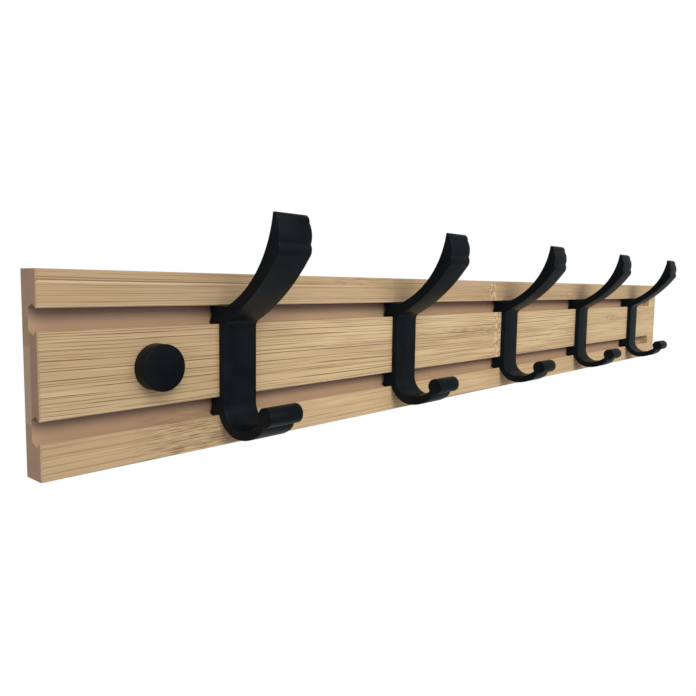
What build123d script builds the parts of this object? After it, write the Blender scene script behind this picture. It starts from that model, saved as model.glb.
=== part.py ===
from build123d import *

import os

# Wall hook rack: a bamboo board with two undercut grooves, open at the left end, five extruded
# hooks that slide along them, and two countersunk screws, the left one under a round cap.
# Millimetres. +X runs along the board, +Z is up and the wall is the plane Y = 0, so the hooks
# stand out towards -Y. The origin is the centre of the board's back face.

os.makedirs("parts", exist_ok=True)

# ---------------------------------------------------------------- driving dimensions

board_length = 530.0
board_height = 60.0
board_thickness = 10.0
board_arris = 0.4  # small chamfer on the board's visible edges

groove_height = 15.9  # each groove's centre above or below the board's centre line
groove_mouth = 6.4  # height of the slot in the board's face
groove_land = 0.8  # depth of the straight lip behind the face
groove_belly = 2.6  # depth at which the groove is highest
groove_flare = 1.3  # how far the belly reaches above and below the mouth
groove_depth = 5.6
groove_stop = 15.0  # the grooves run in from the left end and stop this far before the right one

running_gap = 0.15  # above, below and behind a hook's feet; 0.12 to 0.2 square to their sloping flanks
face_gap = 0.1  # between a hook's or cap's back and the board's face

hook_width = 14.5
hook_places = (-196.6, -99.9, 0.1, 102.8, 203.8)  # centres along the board
corner_r = 0.5
prong_root_r = 3.0  # inside corner between the stem and the prong
stem_thickness = 2.7
foot_notch = 1.3  # shallow V along the back of each foot

cradle_reach = 10.4  # lower hook: centre of its bend, out from the board's face
cradle_drop = 15.2  # and below the board's centre line
cradle_inner_r = 7.6
cradle_wall = 3.5
bead_reach = 23.8
bead_drop = 16.75
bead_r = 3.4

prong_top = 49.05  # upper prong's tip above the centre line
prong_reach = 30.75
tip_groove_low = 39.5  # two fine grooves across the tip's front
tip_groove_high = 46.4

screw_d = 4.0
screw_shank_d = 3.4
screw_head_d = 8.0
screw_length = 40.0
screw_tip = 5.0
screw_hole_d = 4.4
screw_sink = 0.3  # the right screw's head lies this far below the board's face
left_screw_x = -228.5
right_screw_x = 201.5
recess_span = 4.6  # cross recess in the heads
recess_slot = 1.0
recess_depth = 2.2

cap_d = 15.0
cap_height = 5.5
cap_wall = 1.15
cap_front = 1.5
cap_chamfer = 0.5
base_height = 3.0
base_gap = 0.1  # radial, between the cap's cover and its base

# ---------------------------------------------------------------- shared geometry


def section(x):
    """The plane across the board at x: local x is out from the board's face, local y is up."""
    return Plane(origin=(x, -board_thickness, 0), x_dir=(0, -1, 0), z_dir=(-1, 0, 0))


def face_plane(x, reach=0.0):
    """A plane parallel to the board's face, on its centre line at x and `reach` in front."""
    return Plane(origin=(x, -board_thickness - reach, 0), x_dir=(1, 0, 0), z_dir=(0, -1, 0))


def groove_outline(centre, gap, mouth_at):
    """The groove's section, smaller by `gap`, from `mouth_at` in front of the face to its floor."""
    mouth = groove_mouth / 2 - gap
    belly = mouth + groove_flare
    floor = groove_depth - gap
    upper = [(mouth_at, mouth), (-groove_land, mouth), (-groove_belly, belly), (-floor, mouth)]
    lower = [(u, -v) for u, v in reversed(upper)]
    return [(u, centre + v) for u, v in upper + lower]


# ---------------------------------------------------------------- backboard

closed_end = board_length / 2 - groove_stop

with BuildPart() as backboard:
    with BuildSketch(section(0)):
        with Locations((-board_thickness / 2, 0)):
            Rectangle(board_thickness, board_height)
    extrude(amount=board_length / 2, both=True)
    with BuildSketch(section(closed_end)):
        for side in (1, -1):
            with BuildLine():
                Polyline(*groove_outline(side * groove_height, 0, 1.0), close=True)
            make_face()
    extrude(amount=board_length - groove_stop, mode=Mode.SUBTRACT)
    chamfer(faces().filter_by(Axis.Y).group_by(Axis.Y)[0].edges(), length=board_arris)
    chamfer(faces().sort_by(Axis.Y)[-1].edges(), length=board_arris)
    with Locations(face_plane(left_screw_x)):
        Hole(radius=screw_hole_d / 2)
    with Locations(face_plane(right_screw_x)):
        CounterSinkHole(radius=screw_hole_d / 2, counter_sink_radius=screw_head_d / 2 + screw_sink,
                        counter_sink_angle=90)
    # the board is laminated: a back ply, three strips glued on it, and a block across their right ends
    split(bisect_by=Plane(origin=(0, groove_depth - board_thickness, 0), z_dir=(0, 1, 0)), keep=Keep.BOTH)
    split(bisect_by=Plane(origin=(closed_end, 0, 0), z_dir=(1, 0, 0)), keep=Keep.BOTH)

backboard.part.label = "backboard"

# ---------------------------------------------------------------- hooks

stem_front = face_gap + stem_thickness
foot_root = groove_height + groove_mouth / 2 - running_gap
cradle_outer_r = cradle_inner_r + cradle_wall
cradle_start = cradle_drop + (cradle_outer_r**2 - (cradle_reach - face_gap) ** 2) ** 0.5
cradle_low_outer = (cradle_reach, -cradle_drop - cradle_outer_r)
cradle_low_inner = (cradle_reach, -cradle_drop - cradle_inner_r)

# the section of the aluminium bar that the hooks are cut from, local x out and local y up
with BuildSketch() as bar:
    # two feet, each the groove's section less the running gap, with a shallow V along its back
    for side in (1, -1):
        foot_centre = side * groove_height
        foot_points = groove_outline(foot_centre, running_gap, stem_front / 2)
        foot_points.insert(4, (foot_notch - groove_depth + running_gap, foot_centre))
        with BuildLine():
            Polyline(*foot_points, close=True)
        make_face()
    # stem, and above it the prong: a hollow sweep behind, a long flat curve below, a ridged tip
    with BuildLine():
        Polyline((stem_front, 13.1), (stem_front, -cradle_drop), (face_gap, -cradle_drop),
                 (face_gap, foot_root), (4.2, foot_root))
        ThreePointArc((4.2, foot_root), (19.9, 30.9), (27.6, prong_top))
        Line((27.6, prong_top), (28.2, prong_top))
        ThreePointArc((28.2, prong_top), (29.35, 47.9), (29.6, tip_groove_high))
        ThreePointArc((29.6, tip_groove_high), (prong_reach, 42.9), (30.3, tip_groove_low))
        ThreePointArc((30.3, tip_groove_low), (prong_reach, 37.4), (29.6, 35.1))
        ThreePointArc((29.6, 35.1), (17.4, 22.4), (stem_front, 13.1))
    make_face()
    # cradle: a quarter bend under the stem, then a lip that rises to a round bead
    with BuildLine():
        RadiusArc((face_gap, -cradle_start), cradle_low_outer, -cradle_outer_r)
        lip = TangentArc(cradle_low_outer, (20.0, -23.8), tangent=(1, 0))
        TangentArc(lip @ 1, (23.1, -19.4), tangent=lip % 1)
        Polyline((23.1, -19.4), (bead_reach, -bead_drop), (21.4, -18.7))
        TangentArc(cradle_low_inner, (21.4, -18.7), tangent=(1, 0))
        RadiusArc(cradle_low_inner, (stem_front, -cradle_drop), cradle_inner_r)
        Polyline((stem_front, -cradle_drop), (face_gap, -cradle_drop), (face_gap, -cradle_start))
    make_face()
    with Locations((bead_reach, -bead_drop)):
        Circle(bead_r)
    # the corners of the tip, of the lip under the bead and where the prong leaves the stem
    fillet([v for v in vertices() if v.Y > 30 or (v.X > 20.1 and v.Y < 0)], radius=corner_r)
    fillet(vertices().sort_by_distance((stem_front, 13.1))[0], radius=prong_root_r)

for number, place in enumerate(hook_places, start=1):
    with BuildPart() as hook:
        with BuildSketch(section(place)):
            add(bar.sketch)
        extrude(amount=hook_width / 2, both=True)
    hook.part.label = f"hook_{number}"
    export_step(hook.part, f"parts/{hook.part.label}.step")

# ---------------------------------------------------------------- screws

# countersunk wood screws with a cross recess; the thread is its outer cylinder, all of it
# behind the board, and the shank through the board is thinner
head_cone = (screw_head_d - screw_shank_d) / 2

for screw_name, screw_x, head_top in (
    ("screw_left", left_screw_x, base_height),
    ("screw_right", right_screw_x, -screw_sink),
):
    screw_end = head_top - screw_length
    with BuildPart() as screw:
        with BuildSketch(section(screw_x)):
            with BuildLine():
                Polyline(
                    (head_top, 0),
                    (head_top, screw_head_d / 2),
                    (head_top - head_cone, screw_shank_d / 2),
                    (-board_thickness, screw_shank_d / 2),
                    (-board_thickness, screw_d / 2),
                    (screw_end + screw_tip, screw_d / 2),
                    (screw_end, 0),
                    close=True,
                )
            make_face()
        revolve(axis=Axis((screw_x, 0, 0), (0, 1, 0)))
        with BuildSketch(face_plane(screw_x, head_top)):
            for turn in (0, 90):
                Rectangle(recess_span, recess_slot, rotation=turn)
        extrude(amount=-recess_depth, taper=12, mode=Mode.SUBTRACT)
    screw.part.label = screw_name
    export_step(screw.part, f"parts/{screw_name}.step")

# ---------------------------------------------------------------- cap over the left screw

bore_d = cap_d - 2 * cap_wall

with BuildPart() as cap_base:
    with BuildSketch(face_plane(left_screw_x)):
        Circle(bore_d / 2 - base_gap)
    extrude(amount=base_height)
    chamfer(edges().filter_by(GeomType.CIRCLE).sort_by(Axis.Y)[0], length=0.4)
    with Locations(face_plane(left_screw_x, base_height)):
        CounterSinkHole(radius=screw_hole_d / 2, counter_sink_radius=screw_head_d / 2, counter_sink_angle=90)
cap_base.part.label = "cap_base"

with BuildPart() as cap_cover:
    with BuildSketch(face_plane(left_screw_x, face_gap)):
        Circle(cap_d / 2)
    extrude(amount=cap_height - face_gap)
    with BuildSketch(face_plane(left_screw_x, face_gap)):
        Circle(bore_d / 2)
    extrude(amount=cap_height - face_gap - cap_front, mode=Mode.SUBTRACT)
    chamfer(edges().filter_by(GeomType.CIRCLE).sort_by(Axis.Y)[0], length=cap_chamfer)
cap_cover.part.label = "cap_cover"

# ---------------------------------------------------------------- files

for piece in (backboard, cap_base, cap_cover):
    export_step(piece.part, f"parts/{piece.part.label}.step")
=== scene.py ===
import math

import bmesh
import bpy
from mathutils import Matrix, Vector


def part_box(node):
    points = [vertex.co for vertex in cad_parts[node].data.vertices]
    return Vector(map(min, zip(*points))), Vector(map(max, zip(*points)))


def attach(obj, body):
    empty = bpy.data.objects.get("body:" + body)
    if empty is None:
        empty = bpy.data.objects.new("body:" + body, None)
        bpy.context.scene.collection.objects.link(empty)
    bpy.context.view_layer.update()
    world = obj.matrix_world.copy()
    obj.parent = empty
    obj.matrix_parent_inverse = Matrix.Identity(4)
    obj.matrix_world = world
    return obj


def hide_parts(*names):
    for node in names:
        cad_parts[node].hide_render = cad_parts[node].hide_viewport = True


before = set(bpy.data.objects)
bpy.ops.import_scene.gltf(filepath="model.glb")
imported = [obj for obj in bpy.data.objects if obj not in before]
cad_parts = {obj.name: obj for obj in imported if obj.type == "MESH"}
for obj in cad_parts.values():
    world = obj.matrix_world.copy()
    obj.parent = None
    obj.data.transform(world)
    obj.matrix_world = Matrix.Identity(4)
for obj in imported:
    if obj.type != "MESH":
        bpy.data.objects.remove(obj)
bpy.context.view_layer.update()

MM = 0.001
SHARP_DEGREES = 32  # faces that meet at more than this keep a sharp edge
RACK_HOOKS = ("hook_1", "hook_2", "hook_3", "hook_4", "hook_5")

# ---------------------------------------------------------------- small helpers


def make_object(name, mesh):
    """Links a new object for the mesh."""
    piece = bpy.data.objects.new(name, mesh)
    bpy.context.scene.collection.objects.link(piece)
    return piece


def finish_mesh(name, bm, sharp_degrees):
    """Turns a bmesh into an object with smooth faces and sharp edges over the given angle."""
    bmesh.ops.remove_doubles(bm, verts=bm.verts, dist=1e-6)
    bmesh.ops.recalc_face_normals(bm, faces=bm.faces)
    for face in bm.faces:
        face.smooth = True
    for edge in bm.edges:
        if len(edge.link_faces) == 2 and edge.calc_face_angle(0.0) > math.radians(sharp_degrees):
            edge.smooth = False
    mesh = bpy.data.meshes.new(name)
    bm.to_mesh(mesh)
    bm.free()
    return make_object(name, mesh)


def dress(piece, material, slot, body, *cad_nodes):
    """Gives a new piece its material, its body and the CAD nodes that it stands for; the slot is not used."""
    piece.data.materials.clear()
    piece.data.materials.append(material)
    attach(piece, body)
    if cad_nodes:
        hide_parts(*cad_nodes)


class Graph:
    """Short ways to add and join shader nodes."""

    def __init__(self, name):
        self.material = bpy.data.materials.new(name)
        self.material.use_nodes = True
        self.tree = self.material.node_tree
        self.tree.nodes.clear()
        self.shader = self.tree.nodes.new("ShaderNodeBsdfPrincipled")
        self.out = self.tree.nodes.new("ShaderNodeOutputMaterial")
        self.tree.links.new(self.shader.outputs["BSDF"], self.out.inputs["Surface"])

    def node(self, kind, **settings):
        made = self.tree.nodes.new(kind)
        for key, value in settings.items():
            setattr(made, key, value)
        return made

    def put(self, socket, value):
        """Links a socket, or sets its number."""
        if isinstance(value, bpy.types.NodeSocket):
            self.tree.links.new(value, socket)
        else:
            socket.default_value = value

    def math(self, operation, a, b=None, c=None):
        made = self.node("ShaderNodeMath", operation=operation)
        for socket, value in zip(made.inputs, (a, b, c)):
            if value is not None:
                self.put(socket, value)
        return made.outputs[0]

    def step(self, value, low, high, to_low=0.0, to_high=1.0):
        """A smooth step of the value from low to high."""
        made = self.node("ShaderNodeMapRange", interpolation_type="SMOOTHSTEP")
        for socket, number in zip(made.inputs, (value, low, high, to_low, to_high)):
            self.put(socket, number)
        return made.outputs[0]

    def vector(self, x, y, z):
        made = self.node("ShaderNodeCombineXYZ")
        for socket, value in zip(made.inputs, (x, y, z)):
            self.put(socket, value)
        return made.outputs[0]

    def noise(self, vector, scale=1.0, detail=2.0):
        made = self.node("ShaderNodeTexNoise")
        self.put(made.inputs["Vector"], vector)
        made.inputs["Scale"].default_value = scale
        made.inputs["Detail"].default_value = detail
        return made.outputs[0]

    def streaks(self, along, along_scale, across, across_scale, seed, detail):
        """Noise drawn out along the board: it changes slowly along it and quickly across."""
        stretched = self.vector(self.math("MULTIPLY", along, along_scale),
                                self.math("MULTIPLY", across, across_scale), seed)
        return self.noise(stretched, detail=detail)

    def mix(self, factor, a, b):
        """Mixes two colours."""
        made = self.node("ShaderNodeMix", data_type="RGBA", clamp_factor=True)
        self.put(made.inputs[0], factor)
        for socket, colour in ((made.inputs[6], a), (made.inputs[7], b)):
            self.put(socket, colour if isinstance(colour, bpy.types.NodeSocket) else (*colour, 1.0))
        return made.outputs[2]

    def bump(self, height, distance, strength):
        made = self.node("ShaderNodeBump")
        made.inputs["Distance"].default_value = distance
        made.inputs["Strength"].default_value = strength
        self.put(made.inputs["Height"], height)
        self.put(self.shader.inputs["Normal"], made.outputs[0])

    def place(self):
        """The point on the surface in the piece's own frame, in metres, its parts and the normal's."""
        coordinate = self.node("ShaderNodeTexCoord")
        parts = self.node("ShaderNodeSeparateXYZ")
        self.put(parts.inputs[0], coordinate.outputs["Object"])
        facing = self.node("ShaderNodeSeparateXYZ")
        self.put(facing.inputs[0], coordinate.outputs["Normal"])
        return coordinate.outputs["Object"], parts.outputs, facing.outputs


# ---------------------------------------------------------------- bamboo

CULM_DARK, CULM_LIGHT = (0.540, 0.382, 0.206), (0.650, 0.490, 0.272)
LOW_STRIP, HIGH_STRIP = (0.535, 0.370, 0.205), (0.445, 0.302, 0.176)
LEFT_END = (0.405, 0.284, 0.160)
FIBRE_DARK, STREAK_DARK = (0.400, 0.255, 0.130), (0.430, 0.275, 0.145)
STREAK_PALE = (0.740, 0.560, 0.330)
LINE_DARK = (0.150, 0.075, 0.035)
LONG_LINE_DARK, LONG_LINE_PALE = (0.190, 0.095, 0.055), (0.740, 0.560, 0.350)
DASH_DARK = (0.205, 0.105, 0.052)
KNUCKLE_DARK, KNUCKLE_PALE = (0.350, 0.190, 0.115), (0.720, 0.560, 0.370)
DARK_PATCH = (0.350, 0.215, 0.140)
GROOVE_WALL_AND_SHADE, GROOVE_PAINTED_SHADE = (0.365, 0.225, 0.146), (0.240, 0.145, 0.110)
ARRIS_PAINTED_HIGHLIGHT = (0.780, 0.610, 0.410)
END_GRAIN_SHADED_DARK, END_GRAIN_SHADED_LIGHT = (0.325, 0.208, 0.137), (0.385, 0.254, 0.168)
END_PALE_PLY, END_FRONT_PLY, END_DOT = (0.425, 0.312, 0.215), (0.285, 0.176, 0.112), (0.230, 0.140, 0.090)

# places on the board, in metres
LONG_LINE_GRAIN = 0.0104  # where the long dark line runs, in the grain's own coordinate
DASHES_X = -0.2105
KNUCKLES = ((-0.0170, 0.0150, 0.0330), (-0.0112, -0.0165, 0.0150))  # x, then from z to z
DARK_PATCHES = ((0.0983, 0.0243), (0.2028, 0.0253))  # x and z
DARK_PATCH_LENGTH, DARK_PATCH_HEIGHT = 0.013, 0.0045
GROOVE_Z = 0.0159  # each groove's centre above or below the board's centre line


def bamboo_material():
    """Laminated bamboo: strips of culm, milled grooves and end grain, told apart by their place."""
    g = Graph("bamboo")
    point, (x, y, z), (normal_x, _, _) = g.place()

    # `across` runs over the front and on over the top and the groove walls, so the grain never jumps
    across = g.math("MULTIPLY_ADD", y, 1.7, z)
    wander = g.streaks(x, 4.5, across, 28.0, 0.0, 1.0)
    shiver = g.streaks(x, 32.0, across, 260.0, 2.0, 2.0)
    grain = g.math("MULTIPLY_ADD", g.math("SUBTRACT", wander, 0.5), 0.0042, across)
    grain = g.math("MULTIPLY_ADD", g.math("SUBTRACT", shiver, 0.5), 0.0006, grain)

    # the three strips come from different culms
    broad = g.streaks(x, 5.0, grain, 75.0, 5.0, 2.0)
    tone = g.mix(g.step(broad, 0.34, 0.66), CULM_DARK, CULM_LIGHT)
    low_strip = g.step(z, -0.0135, -0.0185)
    high_strip = g.step(z, 0.0135, 0.0185)
    tone = g.mix(g.math("MULTIPLY", low_strip, 0.55), tone, LOW_STRIP)
    tone = g.mix(g.math("MULTIPLY", high_strip, 0.60), tone, HIGH_STRIP)

    # the tone is browner and darker towards the left end
    tone = g.mix(g.step(x, -0.130, -0.250, 0.0, 0.72), tone, LEFT_END)

    # fibres: very fine, long streaks, and coarser ones over them
    fibre = g.streaks(x, 40.0, grain, 2600.0, 0.0, 3.0)
    coarse = g.streaks(x, 17.0, grain, 620.0, 7.0, 2.0)
    tone = g.mix(g.step(fibre, 0.38, 0.72, 0.0, 0.40), tone, FIBRE_DARK)
    tone = g.mix(g.step(coarse, 0.46, 0.72, 0.0, 0.50), tone, STREAK_DARK)
    tone = g.mix(g.step(coarse, 0.44, 0.24, 0.0, 0.35), tone, STREAK_PALE)

    # dark lines between the fibre bundles: uneven spacing, fading in and out along the board
    lines = None
    for scale, half_width, strength, seed in ((470.0, 0.090, 1.0, 11.0), (960.0, 0.14, 0.85, 23.0)):
        cell = g.node("ShaderNodeTexVoronoi", voronoi_dimensions="1D", feature="DISTANCE_TO_EDGE")
        g.put(cell.inputs["W"], g.math("MULTIPLY_ADD", grain, scale, seed))
        cell.inputs["Scale"].default_value = 1.0
        fade = g.streaks(x, 19.0, grain, scale, seed, 2.0)
        line = g.step(cell.outputs["Distance"], half_width, half_width * 0.15)
        line = g.math("MULTIPLY", line, g.step(fade, 0.38, 0.56, 0.0, strength))
        lines = line if lines is None else g.math("MAXIMUM", lines, line)
    outer_strips = g.math("MAXIMUM", low_strip, high_strip)
    lines = g.math("MULTIPLY", lines, g.math("MULTIPLY_ADD", outer_strips, -0.40, 1.0))
    # the groove's walls and floor: behind the face, in front of the back, and not an end face
    endways = g.step(g.math("ABSOLUTE", normal_x), 0.60, 0.85)
    near_centre = g.step(g.math("ABSOLUTE", z), 0.0210, 0.0205)
    in_groove = g.math("MULTIPLY", g.step(y, -0.00985, -0.0092), near_centre)
    in_groove = g.math("MULTIPLY", in_groove, g.step(y, -0.0036, -0.0042))
    in_groove = g.math("MULTIPLY", in_groove, g.math("SUBTRACT", 1.0, endways))
    # the lines are fainter there and towards the right end
    lines = g.math("MULTIPLY", lines, g.math("MULTIPLY_ADD", in_groove, -0.70, 1.0))
    lines = g.math("MULTIPLY", lines, g.step(x, 0.090, 0.140, 1.0, 0.45))
    tone = g.mix(lines, tone, LINE_DARK)

    # one long dark line with a pale one under it, near the top edge at the left end
    near = g.math("SUBTRACT", grain, LONG_LINE_GRAIN)
    at_left = g.step(x, -0.135, -0.165)
    on_line = g.step(g.math("ABSOLUTE", near), 0.00036, 0.00010, 0.0, 0.75)
    tone = g.mix(g.math("MULTIPLY", on_line, at_left), tone, LONG_LINE_DARK)
    under = g.math("ABSOLUTE", g.math("ADD", near, 0.0006))
    under_line = g.step(under, 0.00045, 0.00015, 0.0, 0.45)
    tone = g.mix(g.math("MULTIPLY", under_line, at_left), tone, LONG_LINE_PALE)

    # short dashes: broken fibre ends, thick on the low strip near the left end
    dash = g.streaks(x, 120.0, grain, 3300.0, 31.0, 1.0)
    along = g.step(g.math("ABSOLUTE", g.math("SUBTRACT", x, DASHES_X)), 0.034, 0.012)
    crowd = g.streaks(x, 16.0, grain, 130.0, 37.0, 1.0)
    crowd = g.math("MAXIMUM", g.math("MULTIPLY", along, low_strip), g.step(crowd, 0.56, 0.74, 0.0, 0.8))
    dash = g.math("MULTIPLY", g.step(dash, 0.52, 0.60), crowd)
    tone = g.mix(g.math("MULTIPLY", dash, 0.85), tone, DASH_DARK)

    # knuckles: a speckled band straight across the culm
    knuckles = None
    for centre, low, high in KNUCKLES:
        ragged = g.noise(g.vector(g.math("MULTIPLY", z, 120.0), 0.0, centre * 900.0), detail=2.0)
        from_centre = g.math("SUBTRACT", x, centre)
        offset = g.math("MULTIPLY_ADD", g.math("SUBTRACT", ragged, 0.5), 0.0050, from_centre)
        band = g.step(g.math("ABSOLUTE", offset), 0.0048, 0.0012)
        above_low = g.step(z, low - 0.001, low + 0.001)
        below_high = g.step(z, high + 0.001, high - 0.001)
        band = g.math("MULTIPLY", band, g.math("MULTIPLY", above_low, below_high))
        knuckles = band if knuckles is None else g.math("MAXIMUM", knuckles, band)
    speckle = g.noise(point, scale=620.0, detail=3.0)
    blotch = g.mix(g.step(speckle, 0.42, 0.58), KNUCKLE_DARK, KNUCKLE_PALE)
    tone = g.mix(g.math("MULTIPLY", knuckles, 0.70), tone, blotch)

    # two soft dark patches on the high strip
    for centre_x, centre_z in DARK_PATCHES:
        far_x = g.math("DIVIDE", g.math("SUBTRACT", x, centre_x), DARK_PATCH_LENGTH)
        far_z = g.math("DIVIDE", g.math("SUBTRACT", z, centre_z), DARK_PATCH_HEIGHT)
        far = g.math("ADD", g.math("POWER", far_x, 2.0), g.math("POWER", far_z, 2.0))
        tone = g.mix(g.step(far, 1.0, 0.0, 0.0, 0.38), tone, DARK_PATCH)

    # the milled groove walls are pinker than the sanded face, and darker in part as painted shade; the
    # painted shade is darkest under each upper lip
    height = g.math("SUBTRACT", z, g.math("MULTIPLY", g.math("SIGN", z), GROOVE_Z))
    tone = g.mix(g.math("MULTIPLY", in_groove, 0.65), tone, GROOVE_WALL_AND_SHADE)
    # painted shade: the upper part of each groove, where the upper lip would shade it
    painted_lip_shade = g.math("MULTIPLY", g.step(height, -0.0018, 0.0024, 0.0, 0.90), in_groove)
    tone = g.mix(painted_lip_shade, tone, GROOVE_PAINTED_SHADE)
    # and the arris above it is painted pale: a painted highlight along the edge
    arris_painted_highlight = g.math("MULTIPLY", g.step(height, 0.0031, 0.0033), g.step(height, 0.0040, 0.0036))
    arris_painted_highlight = g.math("MULTIPLY", arris_painted_highlight, g.step(y, -0.0088, -0.0092))
    tone = g.mix(g.math("MULTIPLY", arris_painted_highlight, 0.35), tone, ARRIS_PAINTED_HIGHLIGHT)

    # end grain: plain pinkish brown with fine dots, a paler ply at the back and a browner one in front; its
    # browns are darker than the face's wood in part as painted shade of the end face
    dots = g.node("ShaderNodeTexVoronoi", feature="F1")
    g.put(dots.inputs["Vector"], point)
    dots.inputs["Scale"].default_value = 1100.0
    end_noise = g.noise(point, scale=260.0, detail=2.0)
    end = g.mix(end_noise, END_GRAIN_SHADED_DARK, END_GRAIN_SHADED_LIGHT)
    pale = g.math("MULTIPLY", g.step(y, -0.0052, -0.0046), g.step(z, -0.0148, -0.0138))
    pale = g.math("MULTIPLY", pale, g.step(z, 0.0087, 0.0077))
    end = g.mix(g.math("MULTIPLY", pale, 0.8), end, END_PALE_PLY)
    front_ply = g.math("MULTIPLY", g.step(y, -0.0046, -0.0052), g.step(g.math("ABSOLUTE", z), 0.0127, 0.0117))
    end = g.mix(g.math("MULTIPLY", front_ply, 0.6), end, END_FRONT_PLY)
    end = g.mix(g.step(dots.outputs["Distance"], 0.34, 0.10, 0.0, 0.38), end, END_DOT)
    at_end = g.math("MULTIPLY", endways, g.step(g.math("ABSOLUTE", x), 0.2630, 0.2640))
    tone = g.mix(at_end, tone, end)

    g.put(g.shader.inputs["Base Color"], tone)
    wear = g.math("MULTIPLY_ADD", fibre, 0.16, 0.40)
    wear = g.math("MULTIPLY_ADD", at_end, 0.20, wear)
    g.put(g.shader.inputs["Roughness"], g.math("MULTIPLY_ADD", lines, 0.12, wear))
    g.shader.inputs["Specular IOR Level"].default_value = 0.32
    relief = g.math("SUBTRACT", g.math("MULTIPLY", fibre, 0.35), g.math("MULTIPLY", lines, 0.8))
    relief = g.math("SUBTRACT", relief, g.math("MULTIPLY", dash, 0.6))
    g.bump(relief, 0.00006, 0.8)
    return g.material


# ---------------------------------------------------------------- black coats and zinc


def coat_material(name, colour, roughness, grain_scale, grain_depth, specular):
    """A satin black coat: a fine pebble in the surface and slow changes in its gloss."""
    g = Graph(name)
    point, _, _ = g.place()
    pebble = g.noise(point, scale=grain_scale, detail=2.0)
    slow = g.noise(point, scale=85.0, detail=2.0)
    lighter = tuple(channel * 1.7 + 0.001 for channel in colour)
    g.put(g.shader.inputs["Base Color"], g.mix(g.step(slow, 0.3, 0.7), colour, lighter))
    gloss = g.math("MULTIPLY_ADD", g.math("SUBTRACT", slow, 0.5), 0.10, roughness)
    g.put(g.shader.inputs["Roughness"], g.math("MULTIPLY_ADD", g.math("SUBTRACT", pebble, 0.5), 0.08, gloss))
    g.shader.inputs["Specular IOR Level"].default_value = specular
    g.bump(pebble, grain_depth, 0.6)
    return g.material


def zinc_material():
    """Bright zinc plate with a fine spangle."""
    g = Graph("zinc_screw")
    point, _, _ = g.place()
    spangle = g.noise(point, scale=700.0, detail=3.0)
    g.put(g.shader.inputs["Base Color"], g.mix(spangle, (0.52, 0.53, 0.55), (0.72, 0.73, 0.75)))
    g.shader.inputs["Metallic"].default_value = 1.0
    g.put(g.shader.inputs["Roughness"], g.math("MULTIPLY_ADD", spangle, 0.22, 0.18))
    g.bump(spangle, 0.00001, 0.5)
    return g.material


bamboo = bamboo_material()
hook_black = coat_material("black_hook", (0.0028, 0.0046, 0.0060), 0.34, 2600.0, 0.000012, 0.072)
cap_black = coat_material("black_cap", (0.0020, 0.0033, 0.0042), 0.40, 1900.0, 0.000014, 0.065)
base_black = coat_material("cap_base", (0.010, 0.010, 0.011), 0.60, 1500.0, 0.000020, 0.25)
zinc = zinc_material()

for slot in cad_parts["backboard"].material_slots:
    slot.material = bamboo

# ---------------------------------------------------------------- hooks

# the hooks' section in millimetres, u out from the board's face and v up from its centre line,
# in the same numbers as the CAD model
BOARD_FACE = -10.0
STEM_BACK, STEM_FRONT = 0.1, 2.8
FOOT_CENTRE, FOOT_HALF, FOOT_FLARE = 15.9, 3.05, 1.3
FOOT_LIP, FOOT_BELLY, FOOT_BACK, FOOT_NOTCH = -0.8, -2.6, -5.45, -4.15
CRADLE_CENTRE = (10.4, -15.2)
CRADLE_INNER, CRADLE_OUTER = 7.6, 11.1
LIP_BEND, LIP_END, HOLLOW_END = (20.0, -23.8), (23.1, -19.4), (21.4, -18.7)
BEAD, BEAD_R = (23.8, -16.75), 3.4
PRONG_ROOT = (STEM_FRONT, 13.1)
TIP_BACK, TIP_FRONT = (27.6, 49.05), (28.2, 49.05)
TIP_GROOVE_HIGH, TIP_GROOVE_LOW, TIP_END = (29.6, 46.4), (30.3, 39.5), (29.6, 35.1)
TIP_BACK_R = 0.4
CORNER_R = 0.5
ROOT_R = 3.0
ARRIS = 0.36  # the rounded edge of each cut end


def circle_through(a, b, c):
    """Centre and radius of the circle through three points."""
    (ax, ay), (bx, by), (cx, cy) = a, b, c
    d = 2 * (ax * (by - cy) + bx * (cy - ay) + cx * (ay - by))
    na, nb, nc = ax * ax + ay * ay, bx * bx + by * by, cx * cx + cy * cy
    centre = Vector(((na * (by - cy) + nb * (cy - ay) + nc * (ay - by)) / d,
                     (na * (cx - bx) + nb * (ax - cx) + nc * (bx - ax)) / d))
    return centre, (Vector(a) - centre).length


def turn(centre, radius, start, sweep, count):
    """Points on a circle from the start angle through the sweep, ends included."""
    angles = [start + sweep * i / count for i in range(count + 1)]
    return [centre + radius * Vector((math.cos(angle), math.sin(angle))) for angle in angles]


def arc(a, middle, b, count):
    """Points on the arc from a through middle to b."""
    centre, radius = circle_through(a, middle, b)
    angles = [math.atan2(p[1] - centre.y, p[0] - centre.x) for p in (a, middle, b)]
    sweep = (angles[2] - angles[0]) % math.tau
    if (angles[1] - angles[0]) % math.tau > sweep:
        sweep -= math.tau
    return turn(centre, radius, angles[0], sweep, count)


def tangent_arc(a, b, heading, count):
    """Points on the arc that leaves a along the heading and ends at b."""
    start, chord = Vector(a), Vector(b) - Vector(a)
    left = Vector((-heading.y, heading.x))
    radius = chord.length_squared / (2 * chord.dot(left))
    centre = start + radius * left
    first, last = start - centre, Vector(b) - centre
    sweep = math.atan2(first.x * last.y - first.y * last.x, first.dot(last))
    return turn(centre, abs(radius), math.atan2(first.y, first.x), sweep, count)


def outside_bead(points):
    """The part of a line of points that lies outside the bead, ending on its surface."""
    kept = []
    for before, after in zip(points, points[1:]):
        out_before = (before - Vector(BEAD)).length - BEAD_R
        out_after = (after - Vector(BEAD)).length - BEAD_R
        if out_before > 0:
            kept.append(before)
        if out_before * out_after < 0:
            kept.append(before.lerp(after, out_before / (out_before - out_after)))
    if (points[-1] - Vector(BEAD)).length > BEAD_R:
        kept.append(points[-1])
    return kept


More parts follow.
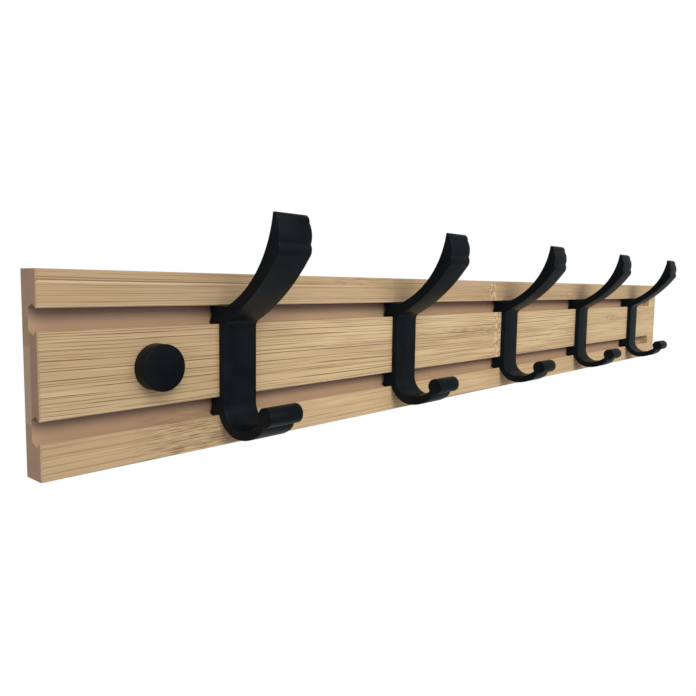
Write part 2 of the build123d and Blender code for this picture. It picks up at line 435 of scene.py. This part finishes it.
def trimmed(points, length):
    """The line of points without its first stretch of the given length."""
    points = list(points)
    while len(points) > 2 and (points[1] - points[0]).length <= length:
        length -= (points[1] - points[0]).length
        points.pop(0)
    points[0] = points[0].lerp(points[1], min(0.9, length / (points[1] - points[0]).length))
    return points


def rounded_join(first, second, radius, count=6):
    """Joins two lines of points that share a corner, with an arc of the radius in the corner."""
    corner = first[-1]
    into = (corner - first[-2]).normalized()
    away = (second[1] - corner).normalized()
    angle = into.angle(away)
    back = radius * math.tan(angle / 2)
    first = trimmed(first[::-1], back)[::-1]
    second = trimmed(second, back)
    weight = math.cos(angle / 2)
    bend = []
    for i in range(1, count):
        t = i / count
        a, b, c = (1 - t) ** 2, 2 * weight * t * (1 - t), t * t
        bend.append((a * first[-1] + b * corner + c * second[0]) / (a + b + c))
    return first + bend + second


def foot(side):
    """A foot's points from its lower lip round its back to its upper lip."""
    half, belly = FOOT_HALF, FOOT_HALF + FOOT_FLARE
    points = ((FOOT_LIP, -half), (FOOT_BELLY, -belly), (FOOT_BACK, -half), (FOOT_NOTCH, 0.0),
              (FOOT_BACK, half), (FOOT_BELLY, belly), (FOOT_LIP, half))
    return [Vector((u, side * FOOT_CENTRE + v)) for u, v in points]


def hook_outline():
    """The section's outline as a closed ring of points, in millimetres."""
    root = FOOT_CENTRE + FOOT_HALF
    lip_low = (CRADLE_CENTRE[0], CRADLE_CENTRE[1] - CRADLE_OUTER)
    hollow_low = (CRADLE_CENTRE[0], CRADLE_CENTRE[1] - CRADLE_INNER)
    centre = Vector(CRADLE_CENTRE)

    line = arc((4.2, root), (19.9, 30.9), TIP_BACK, 40)
    line = rounded_join(line, [Vector(TIP_BACK), Vector(TIP_FRONT)], TIP_BACK_R)
    line = rounded_join(line, arc(TIP_FRONT, (29.35, 47.9), TIP_GROOVE_HIGH, 8), CORNER_R)
    line = rounded_join(line, arc(TIP_GROOVE_HIGH, (30.75, 42.9), TIP_GROOVE_LOW, 12), CORNER_R)
    line = rounded_join(line, arc(TIP_GROOVE_LOW, (30.75, 37.4), TIP_END, 10), CORNER_R)
    line = rounded_join(line, arc(TIP_END, (17.4, 22.4), PRONG_ROOT, 30), CORNER_R)
    line = rounded_join(line, [Vector(PRONG_ROOT), Vector((STEM_FRONT, CRADLE_CENTRE[1]))], ROOT_R)
    line += turn(centre, CRADLE_INNER, math.pi, math.pi / 2, 20)[1:]
    line += tangent_arc(hollow_low, HOLLOW_END, Vector((1, 0)), 24)[1:]
    line = outside_bead(line)

    # the underside, worked out from the stem's end back to the bead
    under = tangent_arc(lip_low, LIP_BEND, Vector((1, 0)), 16)
    heading = (under[-1] - under[-2]).normalized()
    under += tangent_arc(LIP_BEND, LIP_END, heading, 16)[1:]
    under = outside_bead(under)[::-1]

    first, last = line[-1] - Vector(BEAD), under[0] - Vector(BEAD)
    sweep = (math.atan2(last.y, last.x) - math.atan2(first.y, first.x)) % math.tau - math.tau
    bead = turn(Vector(BEAD), BEAD_R, math.atan2(first.y, first.x), sweep, 44)
    line = rounded_join(line, bead, CORNER_R)
    line = rounded_join(line, under, CORNER_R)

    back = STEM_BACK - CRADLE_CENTRE[0]
    begin = math.atan2(-math.sqrt(CRADLE_OUTER**2 - back**2), back)
    line += turn(centre, CRADLE_OUTER, -math.pi / 2, begin + math.pi / 2, 20)[1:]
    for side in (-1, 1):
        line.append(Vector((STEM_BACK, side * FOOT_CENTRE - FOOT_HALF)))
        line += foot(side)
        if side < 0:
            line.append(Vector((STEM_BACK, side * FOOT_CENTRE + FOOT_HALF)))
    return line


def clean_ring(points, least):
    """The ring without points that lie closer together than `least`."""
    kept = [points[0]]
    for p in points[1:]:
        if (p - kept[-1]).length > least:
            kept.append(p)
    if (kept[0] - kept[-1]).length <= least:
        kept.pop()
    return kept


def inset_ring(points, distance):
    """The closed ring of points moved inwards by the distance, corners mitred."""
    area = sum(a.x * b.y - a.y * b.x for a, b in zip(points, points[1:] + points[:1]))
    hand = 1 if area > 0 else -1
    moved = []
    for i, point in enumerate(points):
        before = (point - points[i - 1]).normalized()
        after = (points[(i + 1) % len(points)] - point).normalized()
        normals = [hand * Vector((-d.y, d.x)) for d in (before, after)]
        middle = (normals[0] + normals[1]).normalized()
        moved.append(point + middle * (distance / max(0.5, middle.dot(normals[0]))))
    return moved


def hook_mesh(name, width):
    """A slice of the bar with rounded edges, centred on x = 0."""
    ring = clean_ring(hook_outline(), 0.03)
    half = width / 2
    steps = 5
    sections = []  # (x, inset)
    for i in range(steps + 1):
        t = math.pi / 2 * i / steps
        sections.append((half - ARRIS + ARRIS * math.sin(t), ARRIS * (1 - math.cos(t))))
    sections.append((half, ARRIS + 0.02))
    bm = bmesh.new()
    loops = []
    for x, inset in [(-x, inset) for x, inset in reversed(sections)] + sections:
        loops.append([bm.verts.new((x * MM, (BOARD_FACE - p.x) * MM, p.y * MM))
                      for p in inset_ring(ring, inset)])
    count = len(ring)
    for low, high in zip(loops, loops[1:]):
        for i in range(count):
            j = (i + 1) % count
            bm.faces.new((low[i], low[j], high[j], high[i]))
    caps = [bm.faces.new(loops[0]), bm.faces.new(loops[-1])]
    bm.normal_update()
    bmesh.ops.triangulate(bm, faces=caps)
    return finish_mesh(name, bm, SHARP_DEGREES)


for node in RACK_HOOKS:
    low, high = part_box(node)
    hook = hook_mesh(node + "_bar", (high.x - low.x) / MM)
    hook.location.x = (low.x + high.x) / 2
    dress(hook, hook_black, "black_hook", node, node)

# ---------------------------------------------------------------- turned pieces


def lathe(name, profile, centre_x, segments):
    """Turns a closed profile of (distance in front of the board's face, radius) about the screw's line."""
    bm = bmesh.new()
    rings = []
    for reach, radius in profile:
        if radius < 1e-6:
            rings.append([bm.verts.new((centre_x, (BOARD_FACE - reach) * MM, 0.0))])
            continue
        rings.append([bm.verts.new((centre_x + radius * MM * math.cos(a), (BOARD_FACE - reach) * MM,
                                    radius * MM * math.sin(a)))
                      for a in (math.tau * i / segments for i in range(segments))])
    for first, second in zip(rings, rings[1:] + rings[:1]):
        for i in range(segments):
            j = (i + 1) % segments
            corners = [first[i % len(first)], first[j % len(first)],
                       second[j % len(second)], second[i % len(second)]]
            corners = list(dict.fromkeys(corners))
            if len(corners) > 2:
                bm.faces.new(corners)
    return finish_mesh(name, bm, SHARP_DEGREES)


def soft_corners(profile, radii, count=5):
    """The closed profile with each corner rounded by its radius."""
    out = []
    for i, radius in enumerate(radii):
        corner = Vector(profile[i])
        if radius <= 0:
            out.append(tuple(corner))
            continue
        before, after = Vector(profile[i - 1]), Vector(profile[(i + 1) % len(profile)])
        bend = rounded_join([before, corner], [corner, after], radius, count)[1:-1]
        out += [tuple(p) for p in bend]
    return out


left_x = (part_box("cap_cover")[0].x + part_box("cap_cover")[1].x) / 2
right_x = (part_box("screw_right")[0].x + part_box("screw_right")[1].x) / 2

# the cap's cover and base in millimetres, in the same numbers as the CAD model
COVER_HEIGHT, COVER_R, COVER_BORE_R, COVER_INSIDE = 5.5, 7.5, 6.35, 4.0
BASE_HEIGHT, BASE_R, BASE_HOLE_R, BASE_SINK = 3.0, 6.25, 2.2, 1.2
HEAD_R, SHANK_R = 4.0, 1.7

cover_profile = [(COVER_HEIGHT, 0.0), (COVER_HEIGHT, COVER_R), (STEM_BACK, COVER_R),
                 (STEM_BACK, COVER_BORE_R), (COVER_INSIDE, COVER_BORE_R), (COVER_INSIDE, 0.0)]
cover = lathe("cap_cover_shell", soft_corners(cover_profile, (0, 0.45, 0.2, 0.2, 0.3, 0)), left_x, 128)
dress(cover, cap_black, "black_cap", "cap", "cap_cover")

base_profile = [(0.0, BASE_HOLE_R), (0.0, BASE_R), (BASE_HEIGHT, BASE_R), (BASE_HEIGHT, HEAD_R),
                (BASE_SINK, BASE_HOLE_R)]
base = lathe("cap_base_ring", soft_corners(base_profile, (0, 0.15, 0.45, 0.12, 0)), left_x, 96)
dress(base, base_black, "cap_base", "board", "cap_base")

# ---------------------------------------------------------------- screws

SCREW_LENGTH, SCREW_SINK = 40.0, 0.3
THREAD_OUTER, THREAD_ROOT, THREAD_PITCH = 2.0, 1.35, 1.7
POINT_LENGTH = 5.0
RECESS_SPAN, RECESS_SLOT, RECESS_DEPTH = 4.6, 1.0, 2.2


def screw_head(name, centre_x, head_top):
    """The countersunk head and the plain shank through the board, with a cross recess cut in."""
    shank_start = head_top - (HEAD_R - SHANK_R)
    profile = [(head_top, 0.0), (head_top, HEAD_R), (shank_start, SHANK_R), (BOARD_FACE, SHANK_R),
               (BOARD_FACE, 0.0)]
    head = lathe(name, soft_corners(profile, (0, 0.12, 0.8, 0, 0)), centre_x, 72)
    arm, slot = RECESS_SPAN / 2, RECESS_SLOT / 2
    cross = [(slot, arm), (slot, slot), (arm, slot), (arm, -slot), (slot, -slot), (slot, -arm),
             (-slot, -arm), (-slot, -slot), (-arm, -slot), (-arm, slot), (-slot, slot), (-slot, arm)]
    bm = bmesh.new()
    levels = []
    for reach, scale in ((head_top + 0.5, 1.1), (head_top - RECESS_DEPTH, 0.55)):
        levels.append([bm.verts.new((centre_x + a * scale * MM, (BOARD_FACE - reach) * MM, b * scale * MM))
                       for a, b in cross])
    for i in range(len(cross)):
        j = (i + 1) % len(cross)
        bm.faces.new((levels[0][i], levels[0][j], levels[1][j], levels[1][i]))
    bm.faces.new(levels[0])
    bm.faces.new(levels[1][::-1])
    cutter = finish_mesh(name + "_cutter", bm, 30)
    cut = head.modifiers.new("recess", "BOOLEAN")
    cut.operation = "DIFFERENCE"
    cut.object = cutter
    cut.solver = "EXACT"
    result = bpy.data.meshes.new_from_object(head.evaluated_get(bpy.context.evaluated_depsgraph_get()))
    head.modifiers.clear()
    head.data = result
    bpy.data.objects.remove(cutter)
    return head


def screw_thread(name, centre_x, head_top):
    """The threaded stretch behind the board: one helical ridge that dies away at the point."""
    length = SCREW_LENGTH - head_top + BOARD_FACE
    around, per_pitch = 36, 16
    rows = round(length / THREAD_PITCH * per_pitch)
    bm = bmesh.new()
    rings = []
    for row in range(rows + 1):
        depth = length * row / rows
        taper = min(1.0, max(0.02, (length - depth) / POINT_LENGTH))
        grow = min(1.0, depth / THREAD_PITCH)
        ring = []
        for i in range(around):
            angle = math.tau * i / around
            phase = (depth / THREAD_PITCH - i / around) % 1.0
            ridge = max(0.0, 1.0 - abs(phase - 0.5) / 0.30)
            ridge = min(1.0, ridge * 1.25) * grow
            radius = (THREAD_ROOT + (THREAD_OUTER - THREAD_ROOT) * ridge) * taper
            ring.append(bm.verts.new((centre_x + radius * MM * math.cos(angle), depth * MM,
                                      radius * MM * math.sin(angle))))
        rings.append(ring)
    for first, second in zip(rings, rings[1:]):
        for i in range(around):
            j = (i + 1) % around
            bm.faces.new((first[i], first[j], second[j], second[i]))
    bm.faces.new(rings[0])
    bm.faces.new(rings[-1])
    return finish_mesh(name, bm, 40)


for node, centre_x, head_top in (("screw_left", left_x, BASE_HEIGHT), ("screw_right", right_x, -SCREW_SINK)):
    head = screw_head(node + "_head", centre_x, head_top)
    thread = screw_thread(node + "_thread", centre_x, head_top)
    dress(head, zinc, "zinc_screw", "board", node)
    dress(thread, zinc, "zinc_screw", "board")

# ---------------------------------------------------------------- floor, light and camera

# the rack hangs on a wall, so the floor is small and far below: a near one would light its undersides
FLOOR_Z, FLOOR_HALF = -1.50, 1.0
floor_mesh = bpy.data.meshes.new("floor")
floor_corners = [(side_x * FLOOR_HALF, side_y * FLOOR_HALF, FLOOR_Z)
                 for side_x, side_y in ((-1, -1), (1, -1), (1, 1), (-1, 1))]
floor_mesh.from_pydata(floor_corners, [], [(0, 1, 2, 3)])
floor = make_object("floor", floor_mesh)
pale = Graph("floor_pale")
pale.shader.inputs["Base Color"].default_value = (0.97, 0.97, 0.97, 1.0)
pale.shader.inputs["Roughness"].default_value = 0.9
pale.shader.inputs["Specular IOR Level"].default_value = 0.0
pale.shader.inputs["Emission Color"].default_value = (1.0, 1.0, 1.0, 1.0)
pale.shader.inputs["Emission Strength"].default_value = 0.42
floor_mesh.materials.append(pale.material)

# the camera sees the studio's walls at full white, and they light the rack at WORLD_LIGHT
WORLD_LIGHT = 0.36
world = bpy.data.worlds.new("studio")
bpy.context.scene.world = world
world.use_nodes = True
background = world.node_tree.nodes["Background"]
background.inputs["Color"].default_value = (1.0, 1.0, 1.0, 1.0)
seen = world.node_tree.nodes.new("ShaderNodeLightPath")
strength = world.node_tree.nodes.new("ShaderNodeMapRange")
strength.inputs["To Min"].default_value = WORLD_LIGHT
strength.inputs["To Max"].default_value = 1.0
world.node_tree.links.new(seen.outputs["Is Camera Ray"], strength.inputs["Value"])
world.node_tree.links.new(strength.outputs["Result"], background.inputs["Strength"])


def softbox(name, place, aim, size, energy):
    """A square area light at a place, turned to its aim."""
    light = bpy.data.lights.new(name, "AREA")
    light.size = size
    light.energy = energy
    lamp = bpy.data.objects.new(name, light)
    bpy.context.scene.collection.objects.link(lamp)
    lamp.location = place
    lamp.rotation_euler = (Vector(aim) - Vector(place)).to_track_quat("-Z", "Y").to_euler()


KEY_FROM = (-0.30, -0.74, 0.60)  # the key light comes from the camera's side, so shadows hide
key = bpy.data.lights.new("key", "SUN")
key.energy = 2.0
key.angle = math.radians(40)
key_lamp = bpy.data.objects.new("key", key)
bpy.context.scene.collection.objects.link(key_lamp)
key_lamp.rotation_euler = Vector(KEY_FROM).to_track_quat("Z", "Y").to_euler()
softbox("front", (0.05, -0.75, 0.30), (0.06, 0.0, 0.0), 0.7, 2.2)
softbox("left", (-1.15, -0.60, 0.16), (-0.12, 0.0, 0.0), 0.35, 2.0)

CAMERA_PLACE, CAMERA_LENS = (-0.3414, -0.1928, 0.0263), 33.84
CAMERA_YAW, CAMERA_PITCH, CAMERA_ROLL = math.radians(48.19), math.radians(-5.42), math.radians(0.77)
level = math.cos(CAMERA_PITCH)
ahead = Vector((math.sin(CAMERA_YAW) * level, math.cos(CAMERA_YAW) * level, math.sin(CAMERA_PITCH)))
right = ahead.cross(Vector((0, 0, 1))).normalized()
up = right.cross(ahead)
rolled_right = right * math.cos(CAMERA_ROLL) + up * math.sin(CAMERA_ROLL)
rolled_up = up * math.cos(CAMERA_ROLL) - right * math.sin(CAMERA_ROLL)
camera_data = bpy.data.cameras.new("camera")
camera_data.sensor_width = 36.0
camera_data.lens = CAMERA_LENS
camera_data.clip_start = 0.01
camera = bpy.data.objects.new("camera", camera_data)
bpy.context.scene.collection.objects.link(camera)
turned = Matrix((rolled_right, rolled_up, -ahead)).transposed().to_4x4()
camera.matrix_world = Matrix.Translation(CAMERA_PLACE) @ turned
bpy.context.scene.camera = camera
bpy.context.scene.view_settings.view_transform = "Standard"
